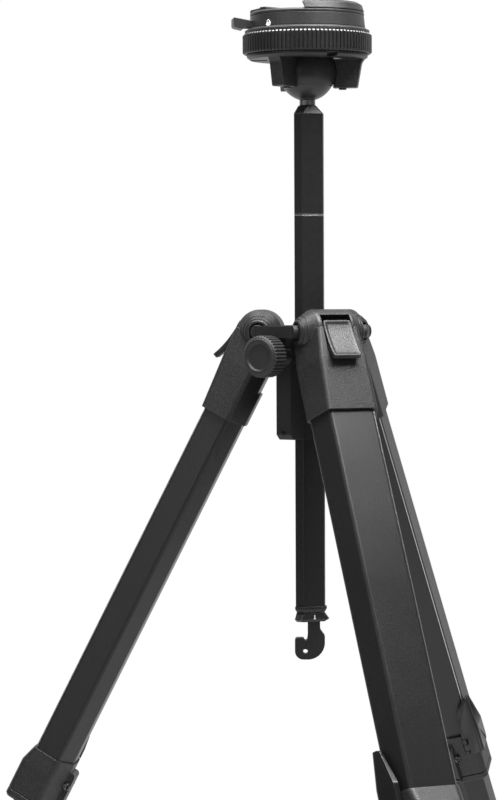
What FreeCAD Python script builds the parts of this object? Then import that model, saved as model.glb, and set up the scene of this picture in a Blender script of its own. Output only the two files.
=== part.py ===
import FreeCAD, Part
import math
import os
from FreeCAD import Vector

# A compact travel tripod: a hub with three folding legs of four nested sections, a sliding
# six-sided centre column, a built-in ball head with a round quick-release platform, and a bag
# hook under the column. Millimetres, +Z up, origin on the column's axis at floor level.

# ---------------------------------------------------------------- driving dimensions
# stance
LEG_AZIMUTHS = {"left": 150.0, "front": 270.0, "rear": 30.0}
LOBE_AZIMUTHS = (90.0, 210.0, 330.0)
KNOB_AZIMUTH = 210.0
LEG_ANGLE = 26.85  # from vertical, as it stands
HINGE_RADIUS = 24.7  # column axis to each leg's hinge axis
HINGE_OFFSET = 6.75  # leg profile's widest line to the hinge axis

# running and fitting clearances
FIT = 0.1  # pressed or glued pieces of one body
PIN_FIT = 0.05  # pin in its bore
SLIDE_GAP = 0.5  # between nested leg tubes
COLUMN_GAP = 0.3  # column in the hub
MOVE_GAP = 0.4  # between faces that pass each other

# leg tube profile: distance from the profile's centre to each face
OUTER_FACE = 14.6
SIDE_FACE = 16.9
SLANT_FACE = 9.05
INNER_FACE = 6.8
SIDE_TURN = 69.2  # direction of the side faces, from the outer face
SLANT_TURN = 150.0
LEG_CORNER = 2.4
LEG_WALL = 1.3

# leg lengths, measured down the leg from its hinge
TUBE_TOP = 14.0
CLAMP_TOP = 250.0
CLAMP_HEIGHTS = (30.0, 26.0, 24.0)
SECTION_OVERLAP = 45.0  # of each tube in the one above, fully out
TOP_STAGGER = 1.0  # each tube's top below the last one's, fully in
STACK_GAP = 0.4  # between clamps, fully in
FOOT_HEIGHT = 18.0
FOOT_GROWTH = 1.4

# hood, the casting at the top of each leg
DOME_RADIUS = 11.7
DOME_FLAT = 10.0
DOME_END_RADIUS = 5.8
DOME_HALF_WIDTH = 18.3
HOOD_END = 48.2
HOOD_SHOULDER = 20.0
HOOD_START = 3.0
HOOD_SHOULDER_OUT = 3.65  # how far its outer face stands off the tube
HOOD_END_OUT = 1.75
HOOD_START_OUT = 4.3
HOOD_SIDE = 1.8
HOOD_SLANT = 1.0
LIP_START = 29.5
LIP_DEPTH = 1.3

# angle tab, the pull-out stop on each hood
TAB_WIDTH = 15.9
TAB_PIVOT = (9.2, -1.4)
TAB_PIN = 1.1
TAB_PIN_SPAN = 9.6
TAB_WINDOW_TOP = 4.2
TAB_TRAVEL_ROOM = 3.0

# hinge pins and the hub's ears
PIN_RADIUS = 2.0
PIN_HALF_LENGTH = 20.4
BOSS_RADIUS = 3.6
BOSS_START = 16.7
EAR_FACE = 20.6
EAR_REACH = 31.4
EAR_HALF_HEIGHT = 3.2
EAR_HALF_WIDTH = 13.5
RECESS_RADIUS = 4.7
RECESS_FLOOR = 16.2

# hub, heights from the hinge axis
HUB_TOP = 2.4
HUB_BOTTOM = -56.3
HUB_WALL = 2.4
LOBE_HALF = 4.6
LOBE_REACH = 22.4
LOBE_BEVEL = 2.7
GUSSET_DROP = 14.0
GUSSET_REACH = 29.0
COLUMN_LOWERED = 123.5  # how far the column slides down, until the ball sits in the hub
HUB_SCREW_RADIUS = 1.7
HUB_SCREW_RISE = 4.2  # above the hub's lower end

# column, heights from the hinge axis
COLUMN_FLAT = 6.64  # faces the legs
COLUMN_EDGE = 8.34  # faces the lobes
COLUMN_CORNER = 1.2
COLUMN_WALL = 1.5
COLUMN_BOTTOM = -144.6
COLUMN_JOINT = 61.2
COLUMN_TOP = 114.2
CONE_HEIGHT = 4.2
CONE_RADIUS = 4.6
SPIGOT_LENGTH = 14.0
JOINT_CHAMFER = 0.45

# column lock knob
KNOB_DROP = 12.6  # its axis below the hinge axis
KNOB_FACE = 44.5  # from the column axis
KNOB_RADIUS = 10.85
KNOB_THICKNESS = 11.0
KNOB_TEETH = 36
KNOB_TOOTH = 0.55
KNOB_NECK_RADIUS = 6.0
KNOB_SHAFT_RADIUS = 3.0
KNOB_DISH_RADIUS = 7.6
KNOB_DISH_DEPTH = 0.9

# ball and head, heights from the ball's centre
BALL_RISE = 21.3  # ball centre above the column's shoulder
BALL_RADIUS = 14.6
NECK_RADIUS = 4.1
STEM_RADIUS = 3.2
STEM_DEPTH = 16.0
CUP_WALL = 0.9
CUP_RIM = -6.5  # heights of the cup's rim and flat top
CUP_TOP = 12.5
SEAT_OUTER = 19.5
SEAT_BOTTOM = 7.8
SEAT_TOP = 14.0
LUG_BOTTOM = -8.0
FLANGE_BOTTOM = 6.9
LUG_INNER = 14.4
LUG_OUTER = 26.4
LUG_TOP_OUTER = 30.2
LUG_HALF = 3.6
FLANGE_RADIUS = 31.7
FLANGE_TOP = 9.4
NOTCH_HALF = 3.4
LUG_SCREW_RADIUS = 2.0
LUG_SCREW_REACH = 18.6
RING_RADIUS = 33.9
RING_ROOT = 0.8
RING_TEETH = 96
RING_BOTTOM = 9.7
RING_TOP = 20.2
RING_WALL = 4.2
RING_CHAMFER = 0.9
BEZEL_TOP = 22.9
BEZEL_RADII = (32.7, 30.9)
LOCK_BOTTOM = 23.2
LOCK_TOP = 29.5
LOCK_WALL = 4.3
LOCK_TAB_AZIMUTH = 163.0
LOCK_TAB_REACH = 39.4
LOCK_TAB_HALF = 5.5
PLATFORM_RADIUS = 29.9
PLATFORM_BOTTOM = 29.8
PLATFORM_TOP = 31.7
JAW_AZIMUTH = 290.0
JAW_TOP = 36.2
JAW_GRIP = 18.8  # half the width of the channel at the jaws' lips
JAW_ROOT = 20.4
CLASP_HALF_LENGTH = 11.5
CLASP_THICKNESS = 4.2
CLASP_INSET = 1.1
PAD_HALF = 16.6
PAD_THICKNESS = 0.8

# bag hook, heights from the column's lower end
COLLAR_HEIGHT = 3.0
COLLAR_FLAT = 6.95  # faces the legs, so that it passes between the folded ones
COLLAR_EDGE = 9.2
COLLAR_PLUG = 8.0
HOOK_BASE_HEIGHT = 5.0
HOOK_BASE_EDGE = 10.5
HOOK_HALF = 3.3
HOOK_AZIMUTH = 155.0

# clamps and their levers
CLAMP_OUT = 3.9
CLAMP_SIDE = 1.6
CLAMP_SLANT = 1.0
CLAMP_INNER = 0.9
CLAMP_RIM = 1.0
CLAMP_FLARE = 9.0
GROOVE_DEPTH = 0.6
CLAMP_FREE = 8.0  # the clamp's height below the end of the tube it is fixed to
LEVER_GAP = 0.5
LEVER_THICKNESS = 2.6
LEVER_OVERHANG = 24.0
LEVER_DROP = 11.0
LEVER_PIVOT_Y = -15.5
LEVER_KNUCKLE = 1.5
LEVER_PIN = 0.8
LEVER_ARM_END = 10.5
CLASP_EAR = 3.9  # how far the clamp's ears stand in towards the column
EAR_TOP = 5.0
EAR_BOTTOM = 2.6
EAR_SPAN = (-8.5, 6.0)
SCREW_RADIUS = 1.7

# ---------------------------------------------------------------- derived sizes
STEP = LEG_WALL + SLIDE_GAP  # how much smaller each leg section is than the last
SECTION_TRAVELS = []
CLAMP_TOPS = [CLAMP_TOP]
reach = CLAMP_TOP
for number, height in enumerate(CLAMP_HEIGHTS):
    reach += height
    SECTION_TRAVELS.append(reach - SECTION_OVERLAP - TUBE_TOP - TOP_STAGGER * (number + 1))
    stacked = sum(CLAMP_HEIGHTS[: number + 1]) + STACK_GAP * (number + 1)
    CLAMP_TOPS.append(CLAMP_TOP + stacked + sum(SECTION_TRAVELS))
TUBE_TOPS = [TUBE_TOP]
for number in range(1, 4):
    TUBE_TOPS.append(TUBE_TOP + TOP_STAGGER * number + sum(SECTION_TRAVELS[:number]))
FOOT_TOP = CLAMP_TOPS[3]
FOOT_MIDDLE = (OUTER_FACE - INNER_FACE) / 2 - HINGE_OFFSET
FOOT_RADIUS = (OUTER_FACE + INNER_FACE) / 2 - 3 * STEP + FOOT_GROWTH
FOOT_CENTRE = FOOT_TOP + FOOT_HEIGHT - FOOT_RADIUS
LEAN = math.radians(LEG_ANGLE)
HINGE_HEIGHT = FOOT_CENTRE * math.cos(LEAN) - FOOT_MIDDLE * math.sin(LEAN) + FOOT_RADIUS
BALL_HEIGHT = COLUMN_TOP + BALL_RISE
BALL_Z = HINGE_HEIGHT + BALL_HEIGHT
CUP_RADIUS = BALL_RADIUS + COLUMN_GAP + CUP_WALL
SEAT_RADIUS = CUP_RADIUS + COLUMN_GAP
LOCK_RADII = (PLATFORM_RADIUS + 0.6, PLATFORM_RADIUS - 0.1)
CORE_RADIUS = LOCK_RADII[0] - LOCK_WALL
CLASP_OUTER = PLATFORM_RADIUS - CLASP_INSET


# ---------------------------------------------------------------- shape helpers
def rounded_wire(points, radii):
    """A closed wire through the points, each corner rounded by its radius (0 leaves it sharp)."""
    if not isinstance(radii, (list, tuple)):
        radii = [radii] * len(points)
    starts, ends, arcs = [], [], []
    for index, corner in enumerate(points):
        back = (points[index - 1] - corner).normalize()
        ahead = (points[(index + 1) % len(points)] - corner).normalize()
        half = back.getAngle(ahead) / 2
        radius = radii[index]
        length = radius / math.tan(half)
        starts.append(corner + back * length)
        ends.append(corner + ahead * length)
        if radius:
            middle = corner + (back + ahead).normalize() * (radius / math.sin(half) - radius)
            arcs.append(Part.Arc(starts[-1], middle, ends[-1]).toShape())
        else:
            arcs.append(None)
    edges = []
    for index, arc in enumerate(arcs):
        if arc:
            edges.append(arc)
        following = starts[(index + 1) % len(points)]
        if ends[index].distanceToPoint(following) > 1e-6:
            edges.append(Part.LineSegment(ends[index], following).toShape())
    return Part.Wire(edges)


def slab(points, radii, direction):
    return Part.Face(rounded_wire(points, radii)).extrude(direction)


def section(faces, radius, height=0.0):
    """The convex outline whose sides are (direction in degrees, distance from the centre)."""
    points = []
    for index, (turn, distance) in enumerate(faces):
        next_turn, next_distance = faces[(index + 1) % len(faces)]
        a, b = math.radians(turn), math.radians(next_turn)
        x = (distance * math.sin(b) - next_distance * math.sin(a)) / math.sin(b - a)
        y = (next_distance * math.cos(a) - distance * math.cos(b)) / math.sin(b - a)
        points.append(Vector(x, y, height))
    return rounded_wire(points, radius)


def prism(faces, radius, low, high):
    return Part.Face(section(faces, radius, low)).extrude(Vector(0, 0, high - low))


def loft(stages):
    """A ruled solid through outlines given as (faces, corner radius, height)."""
    return Part.makeLoft([section(*stage) for stage in stages], True, True)


def turned(profile):
    """A solid of revolution about Z of a closed (radius, height) profile."""
    points = [Vector(radius, 0, height) for radius, height in profile]
    face = Part.Face(Part.makePolygon(points + points[:1]))
    return face.revolve(Vector(), Vector(0, 0, 1), 360)


def rod(radius, start, end):
    return Part.makeCylinder(radius, (end - start).Length, start, end - start)


def block(low, high):
    size = Vector(*high) - Vector(*low)
    return Part.makeBox(size.x, size.y, size.z, Vector(*low))


def joined(shape, *others):
    return shape.fuse(list(others)).removeSplitter()


def spun(shape, azimuth):
    turned_shape = shape.copy()
    turned_shape.rotate(Vector(), Vector(0, 0, 1), azimuth)
    return turned_shape


def moved(shape, x, y, z):
    moved_shape = shape.copy()
    moved_shape.translate(Vector(x, y, z))
    return moved_shape


def on_leg(shape, azimuth):
    """From the folded leg's frame (hinge at the origin, +X away from the column) to its place."""
    placed = shape.copy()
    placed.rotate(Vector(), Vector(0, 1, 0), -LEG_ANGLE)
    placed.translate(Vector(HINGE_RADIUS, 0, HINGE_HEIGHT))
    placed.rotate(Vector(), Vector(0, 0, 1), azimuth)
    return placed


def leg_faces(grow, inset=0.0):
    """The leg profile's faces, each moved out by its growth and all moved in by the inset."""
    if not isinstance(grow, (list, tuple)):
        grow = [grow] * 6
    turns = (0, SIDE_TURN, SLANT_TURN, 180, 360 - SLANT_TURN, 360 - SIDE_TURN)
    distances = (OUTER_FACE, SIDE_FACE, SLANT_FACE, INNER_FACE, SLANT_FACE, SIDE_FACE)
    return [(turn, distance + more - inset) for turn, distance, more in zip(turns, distances, grow)]


def leg_prism(grow, inset, top, bottom):
    """A prism of the leg profile between two distances down the leg."""
    radius = max(0.5, LEG_CORNER - inset + (grow if isinstance(grow, float) else 0.0))
    return moved(prism(leg_faces(grow, inset), radius, -bottom, -top), -HINGE_OFFSET, 0, 0)


def leg_loft(stages):
    """A ruled solid down the leg through (growth, corner radius, distance down the leg)."""
    solid = loft([(leg_faces(grow), radius, -down) for grow, radius, down in stages])
    return moved(solid, -HINGE_OFFSET, 0, 0)


# ---------------------------------------------------------------- legs, in the folded leg's frame
def leg_tube(number):
    """Section number of a leg (0 is the top one): a thin-walled tube, open at both ends."""
    inset = number * STEP
    top = TUBE_TOPS[number]
    bottom = CLAMP_TOPS[number] + (CLAMP_HEIGHTS[number] - CLAMP_FREE if number < 3 else FOOT_HEIGHT / 3)
    outside = leg_prism(0.0, inset, top, bottom)
    return outside.cut(leg_prism(0.0, inset + LEG_WALL, top - 1, bottom + 1))


def hood():
    """The casting at the top of a leg: a dome about the hinge, a shell down the tube and a lip."""
    starts = [HOOD_START_OUT, 0.3, 0.0, 0.0, 0.0, 0.3]
    shoulder = [HOOD_SHOULDER_OUT, HOOD_SIDE, HOOD_SLANT, 0.0, HOOD_SLANT, HOOD_SIDE]
    end = [HOOD_END_OUT, HOOD_SIDE, HOOD_SLANT, 0.0, HOOD_SLANT, HOOD_SIDE]
    shell = leg_loft([
        (starts, LEG_CORNER, HOOD_START),
        (shoulder, LEG_CORNER, HOOD_SHOULDER),
        (end, LEG_CORNER, HOOD_END),
    ])
    profile = [
        Vector(0, -DOME_HALF_WIDTH, 0),
        Vector(DOME_END_RADIUS, -DOME_HALF_WIDTH, 0),
        Vector(DOME_RADIUS, -DOME_FLAT, 0),
        Vector(DOME_RADIUS, DOME_FLAT, 0),
        Vector(DOME_END_RADIUS, DOME_HALF_WIDTH, 0),
        Vector(0, DOME_HALF_WIDTH, 0),
    ]
    outline = Part.Face(rounded_wire(profile, [0, 1.2, 2.5, 2.5, 1.2, 0]))
    dome = outline.revolve(Vector(), Vector(0, 1, 0), 360)
    lip = leg_prism([0.0, 0.0, HOOD_SLANT, LIP_DEPTH, HOOD_SLANT, 0.0], 0.0, LIP_START, HOOD_END)
    body = joined(shell, dome, lip)
    body = body.cut(leg_prism(FIT, 0.0, TUBE_TOP - FIT, HOOD_END + 1))
    bore = rod(PIN_RADIUS + PIN_FIT, Vector(0, -DOME_HALF_WIDTH - 1, 0), Vector(0, DOME_HALF_WIDTH + 1, 0))
    cuts = [bore, tab_pocket()]
    for side in (-1, 1):
        cuts.append(rod(RECESS_RADIUS, Vector(0, side * RECESS_FLOOR, 0), Vector(0, side * 26, 0)))
    return body.cut(cuts)


def tab_side():
    """Side outline of the angle tab: a knuckle end that narrows to a tip turned outwards."""
    x, z = TAB_PIVOT
    points = [
        (x + 1.6, z + 1.9),
        (x + 3.6, z - 7.0),
        (x + 7.0, z - 20.4),
        (x + 6.4, z - 22.2),
        (x + 4.8, z - 21.2),
        (x + 1.3, z - 8.0),
        (x - 2.0, z - 1.0),
        (x - 1.6, z + 1.6),
    ]
    return [Vector(px, -TAB_WIDTH / 2, pz) for px, pz in points]


def angle_tab():
    """The pull-out stop that sets how far a leg opens, on two short pins of its own."""
    x, z = TAB_PIVOT
    plate = slab(tab_side(), [1.0, 3.0, 0.8, 0.6, 0.8, 3.0, 0.9, 1.2], Vector(0, TAB_WIDTH, 0))
    pins = rod(TAB_PIN, Vector(x, -TAB_PIN_SPAN, z), Vector(x, TAB_PIN_SPAN, z))
    return joined(plate, pins)


def tab_pocket():
    """What the hood leaves open for the tab: a window above it and a pocket behind it."""
    x, z = TAB_PIVOT
    half = TAB_WIDTH / 2 + MOVE_GAP
    points = [
        (x - 2.9, TAB_WINDOW_TOP),
        (x + TAB_TRAVEL_ROOM * 3, TAB_WINDOW_TOP + 1.2),
        (x + TAB_TRAVEL_ROOM * 3, z - 23.4),
        (x + 4.6, z - 23.4),
        (x + 0.8, z - 8.0),
        (x - 2.9, z - 1.4),
    ]
    pocket = slab([Vector(px, -half, pz) for px, pz in points], 0, Vector(0, 2 * half, 0))
    span = TAB_PIN_SPAN + FIT
    holes = rod(TAB_PIN + PIN_FIT, Vector(x, -span, z), Vector(x, span, z))
    return pocket.fuse(holes)


def clamp_growth(number):
    """How far a clamp stands off its own tube: flush with the top clamp on the lever's side."""
    more = (number - 1) * STEP
    return [CLAMP_OUT, CLAMP_SIDE, CLAMP_SLANT, CLAMP_INNER, CLAMP_SIDE + more, CLAMP_SIDE + more]


def lever_pivot():
    """Centre of every lever's pivot in the leg's cross-section, in the middle of its plate."""
    distance = SLANT_FACE + CLAMP_SIDE + LEVER_GAP + LEVER_THICKNESS / 2
    turn = math.radians(360 - SLANT_TURN)
    x = (distance - LEVER_PIVOT_Y * math.sin(turn)) / math.cos(turn)
    return x - HINGE_OFFSET, LEVER_PIVOT_Y


def clamp(number):
    """Clamp at the foot of tube number - 1: a flared collar with a split pair of ears."""
    above = (number - 1) * STEP
    top = CLAMP_TOPS[number - 1]
    height = CLAMP_HEIGHTS[number - 1]
    bottom = top + height
    grow = clamp_growth(number)
    rim = [CLAMP_RIM] * 3 + [CLAMP_INNER] + [CLAMP_SIDE + above] * 2
    radius = LEG_CORNER + CLAMP_SIDE
    stages = [(rim, top), (grow, top + CLAMP_FLARE), (grow, bottom - 1.2), ([g - 0.8 for g in grow], bottom)]
    outlines = [section(leg_faces(g, above), radius, -down) for g, down in stages]
    collar = moved(Part.makeLoft(outlines, True, True), -HINGE_OFFSET, 0, 0)
    face = -HINGE_OFFSET - INNER_FACE + above
    ear_outline = [
        Vector(face + 1.0, EAR_SPAN[0], -top - EAR_TOP),
        Vector(face - CLASP_EAR, EAR_SPAN[0], -top - EAR_TOP),
        Vector(face - CLASP_EAR, EAR_SPAN[0], -bottom + EAR_BOTTOM),
        Vector(face + 1.0, EAR_SPAN[0], -bottom + EAR_BOTTOM),
    ]
    ears = slab(ear_outline, [0, 2.2, 1.4, 0], Vector(0, EAR_SPAN[1] - EAR_SPAN[0], 0))
    pivot_x, pivot_y = lever_pivot()
    knuckles = []
    for low, high in ((0.6, 3.6), (8.0, 10.6)):
        start = Vector(pivot_x, pivot_y, -top - high)
        end = Vector(pivot_x, pivot_y, -top - low)
        web_size = LEVER_GAP + LEVER_THICKNESS / 2 + 0.6
        turn = 360 - SLANT_TURN
        web = block((-web_size, -LEVER_KNUCKLE, -top - high), (0, LEVER_KNUCKLE, -top - low))
        web = moved(spun(web, turn), pivot_x, pivot_y, 0)
        knuckles.append(rod(LEVER_KNUCKLE, start, end))
        knuckles.append(web)
    body = joined(collar, ears, *knuckles)
    cuts = [
        leg_prism(FIT, above, top - 1, bottom - CLAMP_FREE + FIT),
        leg_prism(MOVE_GAP, above + STEP, top, bottom + 1),
        block((face - 9, -0.6, -bottom - 1), (face + 2, 0.6, -bottom + height * 0.55)),
        clamp_groove(grow, above, bottom - 5.0, bottom - 4.1),
    ]
    body = body.cut(cuts)
    screw_z = -top - height * 0.42
    screw_x = face - CLASP_EAR + SCREW_RADIUS + 0.2
    low, high = EAR_SPAN
    screw = rod(SCREW_RADIUS, Vector(screw_x, low - 0.8, screw_z), Vector(screw_x, high + 0.8, screw_z))
    pin = rod(LEVER_PIN, Vector(pivot_x, pivot_y, -top - 10.6), Vector(pivot_x, pivot_y, -top - 0.6))
    return joined(body, screw, pin)


def clamp_groove(grow, inset, top, bottom):
    """A shallow groove round a clamp, following the growth of each of its faces."""
    radius = LEG_CORNER + CLAMP_SIDE
    inner = leg_faces([g - GROOVE_DEPTH for g in grow], inset)
    outer = leg_faces([g + 4 for g in grow], inset)
    ring = prism(outer, radius, -bottom, -top).cut(prism(inner, radius, -bottom - 1, -top + 1))
    return moved(ring, -HINGE_OFFSET, 0, 0)


def lever(number):
    """Cam lever of a clamp: a leaf-shaped plate round the leg's corner, on a pivot down the leg."""
    top = CLAMP_TOPS[number - 1]
    overhang = LEVER_OVERHANG
    if number > 1:
        overhang = CLAMP_HEIGHTS[number - 2] - LEVER_DROP - 2.0
    near = CLAMP_SIDE + LEVER_GAP
    far = near + LEVER_THICKNESS
    tip = top - overhang
    broad = tip + overhang * 0.8
    end = top + LEVER_DROP
    stages = [(near + 0.9, LEG_CORNER, tip), (far, LEG_CORNER + 1, broad), (far, LEG_CORNER + 1, end)]
    plate = leg_loft(stages)
    plate = plate.cut(leg_prism(near, 0.0, tip - 1, end + 1))
    pivot_x, pivot_y = lever_pivot()
    arm_end = LEVER_ARM_END - HINGE_OFFSET
    leaf = [
        Vector(-8.0, -40, -tip),
        Vector(-3.0, -40, -tip),
        Vector(arm_end, -40, -broad),
        Vector(arm_end, -40, -end + 2),
        Vector(pivot_x - 6, -40, -end),
        Vector(pivot_x - 6, -40, -top),
    ]
    window = slab(leaf, [1.0, 3.0, 5.0, 3.0, 0, 3.0], Vector(0, 40 + pivot_y, 0))
    plate = plate.common(window)
    room = LEVER_KNUCKLE + 2 * MOVE_GAP
    spare = Vector(pivot_x, pivot_y, 0)
    cuts = []
    for low, high in ((0.2, 3.9), (7.7, 12.0)):
        cuts.append(rod(room, spare + Vector(0, 0, -top - high), spare + Vector(0, 0, -top - low)))
    plate = plate.cut(cuts)
    knuckle = rod(LEVER_KNUCKLE, spare + Vector(0, 0, -top - 7.6), spare + Vector(0, 0, -top - 4.0))
    plate = joined(plate, knuckle)
    hole = rod(LEVER_PIN + PIN_FIT, spare + Vector(0, 0, -top - 9), spare + Vector(0, 0, -top - 2))
    return plate.cut(hole)


def foot():
    """Rubber foot: a cap over the last tube with a full-round end."""
    inset = 3 * STEP
    bottom = FOOT_TOP + FOOT_HEIGHT
    outside = leg_prism(FOOT_GROWTH, inset, FOOT_TOP, bottom)
    middle = Vector(FOOT_MIDDLE, -30, -FOOT_CENTRE)
    end_round = rod(FOOT_RADIUS, middle, middle + Vector(0, 60, 0))
    upper = block((-40, -30, -FOOT_CENTRE), (40, 30, -FOOT_TOP + 1))
    shape = outside.common(upper.fuse(end_round))
    return shape.cut(leg_prism(FIT, inset, FOOT_TOP - 1, FOOT_TOP + FOOT_HEIGHT / 3 + FIT))


# ---------------------------------------------------------------- hub, heights from the hinge axis
def column_faces(grow):
    """The column's six faces: wide flats facing the legs, narrow ones facing the lobes."""
    return [(30.0 + 60 * n, (COLUMN_EDGE if n % 2 else COLUMN_FLAT) + grow) for n in range(6)]


def lobe():
    """One wall of the hub between two legs, along +X: a plate with a T-shaped hinge ear on top."""
    low, high = HUB_BOTTOM, HUB_TOP
    points = [
        (COLUMN_EDGE, low),
        (LOBE_REACH - LOBE_BEVEL, low),
        (LOBE_REACH, low + LOBE_BEVEL),
        (LOBE_REACH, -GUSSET_DROP),
        (GUSSET_REACH, -EAR_HALF_HEIGHT),
        (GUSSET_REACH, high),
        (COLUMN_EDGE, high),
    ]
    outline = [Vector(x, -LOBE_HALF, z) for x, z in points]
    plate = slab(outline, [0, 1.0, 1.0, 3.0, 0, 0, 0], Vector(0, 2 * LOBE_HALF, 0))
    slope = math.cos(math.radians(30))

    def ear_edge(y):
        return (EAR_FACE + y / 2) / slope

    ear_outline = [
        Vector(ear_edge(0), 0, -EAR_HALF_HEIGHT),
        Vector(ear_edge(EAR_HALF_WIDTH), -EAR_HALF_WIDTH, -EAR_HALF_HEIGHT),
        Vector(EAR_REACH, -EAR_HALF_WIDTH + 3.0, -EAR_HALF_HEIGHT),
        Vector(EAR_REACH, EAR_HALF_WIDTH - 3.0, -EAR_HALF_HEIGHT),
        Vector(ear_edge(EAR_HALF_WIDTH), EAR_HALF_WIDTH, -EAR_HALF_HEIGHT),
    ]
    ear = slab(ear_outline, [0, 0.6, 1.5, 1.5, 0.6], Vector(0, 0, 2 * EAR_HALF_HEIGHT))
    return plate.fuse(ear)


def hinge_line(azimuth, start, end):
    """Two points on a leg's hinge axis, at distances to the side of the leg's own plane."""
    turn = math.radians(azimuth)
    out = Vector(math.cos(turn), math.sin(turn), 0) * HINGE_RADIUS
    side = Vector(math.sin(turn), -math.cos(turn), 0)
    return out + side * start, out + side * end


def hub():
    shape = prism(column_faces(COLUMN_GAP + HUB_WALL), COLUMN_CORNER + HUB_WALL, HUB_BOTTOM, HUB_TOP)
    lobes = [spun(lobe(), azimuth) for azimuth in LOBE_AZIMUTHS]
    bosses = []
    pins = []
    for azimuth in LEG_AZIMUTHS.values():
        for side in (-1, 1):
            ends = hinge_line(azimuth, side * BOSS_START, side * (PIN_HALF_LENGTH + 0.6))
            bosses.append(rod(BOSS_RADIUS, *ends))
        pins.append(rod(PIN_RADIUS + PIN_FIT, *hinge_line(azimuth, -PIN_HALF_LENGTH, PIN_HALF_LENGTH)))
    shape = shape.fuse(lobes + bosses).removeSplitter()
    bore = prism(column_faces(COLUMN_GAP), COLUMN_CORNER, HUB_BOTTOM - 1, HUB_TOP + 1)
    ball_seat = Part.makeSphere(BALL_RADIUS + MOVE_GAP, Vector(0, 0, BALL_HEIGHT - COLUMN_LOWERED))
    cuts = [bore, ball_seat] + pins
    axis_z = -KNOB_DROP
    knob_low = KNOB_FACE - KNOB_THICKNESS
    knob_cuts = [
        rod(KNOB_SHAFT_RADIUS + PIN_FIT, Vector(5, 0, axis_z), Vector(40, 0, axis_z)),
        rod(KNOB_NECK_RADIUS + MOVE_GAP, Vector(LOBE_REACH, 0, axis_z), Vector(40, 0, axis_z)),
        rod(KNOB_RADIUS + MOVE_GAP, Vector(knob_low - MOVE_GAP, 0, axis_z), Vector(45, 0, axis_z)),
    ]
    cuts += [spun(tool, KNOB_AZIMUTH) for tool in knob_cuts]
    for azimuth in LOBE_AZIMUTHS:
        cuts.append(spun(hub_screw(FIT, 1.0), azimuth))
    return shape.cut(cuts)


def hub_screw(grow=0.0, extra=0.0):
    """A socket screw in the outer edge of a lobe, along +X."""
    z = HUB_BOTTOM + HUB_SCREW_RISE
    near, far = LOBE_REACH - 5, LOBE_REACH - 0.4 + extra
    screw = rod(HUB_SCREW_RADIUS + grow, Vector(near, 0, z), Vector(far, 0, z))
    if extra:
        return screw
    socket = prism([(60 * n, 0.8) for n in range(6)], 0, 0, 2)
    socket.rotate(Vector(), Vector(0, 1, 0), 90)
    return screw.cut(moved(socket, LOBE_REACH - 1.6, 0, z))


def hinge_pins():
    half = PIN_HALF_LENGTH
    rods = [rod(PIN_RADIUS, *hinge_line(azimuth, -half, half)) for azimuth in LEG_AZIMUTHS.values()]
    return Part.makeCompound(rods)


def knurled(radius, depth, teeth, low, high, chamfer):
    """A disc with straight teeth round its edge and both ends of the teeth chamfered."""
    points = []
    pitch = 2 * math.pi / teeth
    for tooth in range(teeth):
        for share, reach in ((-0.36, radius - depth), (-0.2, radius), (0.2, radius), (0.36, radius - depth)):
            turn = (tooth + share) * pitch
            points.append(Vector(reach * math.cos(turn), reach * math.sin(turn), low))
    disc = Part.Face(Part.makePolygon(points + points[:1])).extrude(Vector(0, 0, high - low))
    ends = [(0, low), (radius - chamfer, low), (radius + 0.05, low + chamfer)]
    ends += [(radius + 0.05, high - chamfer), (radius - chamfer, high), (0, high)]
    return disc.common(turned(ends))


def lock_knob():
    """Column lock knob, built along +Z from the column's axis and laid over towards its lobe."""
    low = KNOB_FACE - KNOB_THICKNESS
    grip = knurled(KNOB_RADIUS, KNOB_TOOTH, KNOB_TEETH, low, KNOB_FACE - 0.6, 1.0)
    rim = turned([(0, low), (KNOB_RADIUS - 1.4, low), (KNOB_RADIUS - 1.4, KNOB_FACE - 0.4),
                  (KNOB_RADIUS - 2.0, KNOB_FACE), (0, KNOB_FACE)])
    dish = turned([(0, KNOB_FACE - KNOB_DISH_DEPTH), (KNOB_DISH_RADIUS - 1.0, KNOB_FACE - KNOB_DISH_DEPTH),
                   (KNOB_DISH_RADIUS, KNOB_FACE + 0.1), (0, KNOB_FACE + 0.1)])
    base = LOBE_REACH + MOVE_GAP
    neck = Part.makeCylinder(KNOB_NECK_RADIUS, low - base, Vector(0, 0, base))
    bore = Part.makeCylinder(KNOB_SHAFT_RADIUS + FIT, low - LOBE_REACH + 3.0, Vector(0, 0, LOBE_REACH))
    return knob_place(joined(grip, rim, neck).cut([dish, bore]))


def lock_shaft():
    """Shaft from the knob through the lobe to the column's edge."""
    start = COLUMN_EDGE + COLUMN_GAP + FIT
    end = KNOB_FACE - KNOB_THICKNESS + 2.8
    shaft = Part.makeCylinder(KNOB_SHAFT_RADIUS, end - start - 1.0, Vector(0, 0, start + 1.0))
    tip = Part.makeCone(KNOB_SHAFT_RADIUS - 1.0, KNOB_SHAFT_RADIUS, 1.0, Vector(0, 0, start))
    return knob_place(shaft.fuse(tip).removeSplitter())


def knob_place(shape):
    placed = shape.copy()
    placed.rotate(Vector(), Vector(0, 1, 0), 90)
    placed.translate(Vector(0, 0, -KNOB_DROP))
    return spun(placed, KNOB_AZIMUTH)


# ---------------------------------------------------------------- column, heights from the hinge axis
def column_lower():
    edge = COLUMN_JOINT - JOINT_CHAMFER
    outside = loft([
        (column_faces(0), COLUMN_CORNER, COLUMN_BOTTOM),
        (column_faces(0), COLUMN_CORNER, edge),
        (column_faces(-JOINT_CHAMFER), COLUMN_CORNER, COLUMN_JOINT),
    ])
    return outside.cut(prism(column_faces(-COLUMN_WALL), COLUMN_CORNER, COLUMN_BOTTOM - 1, COLUMN_JOINT + 1))


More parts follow.
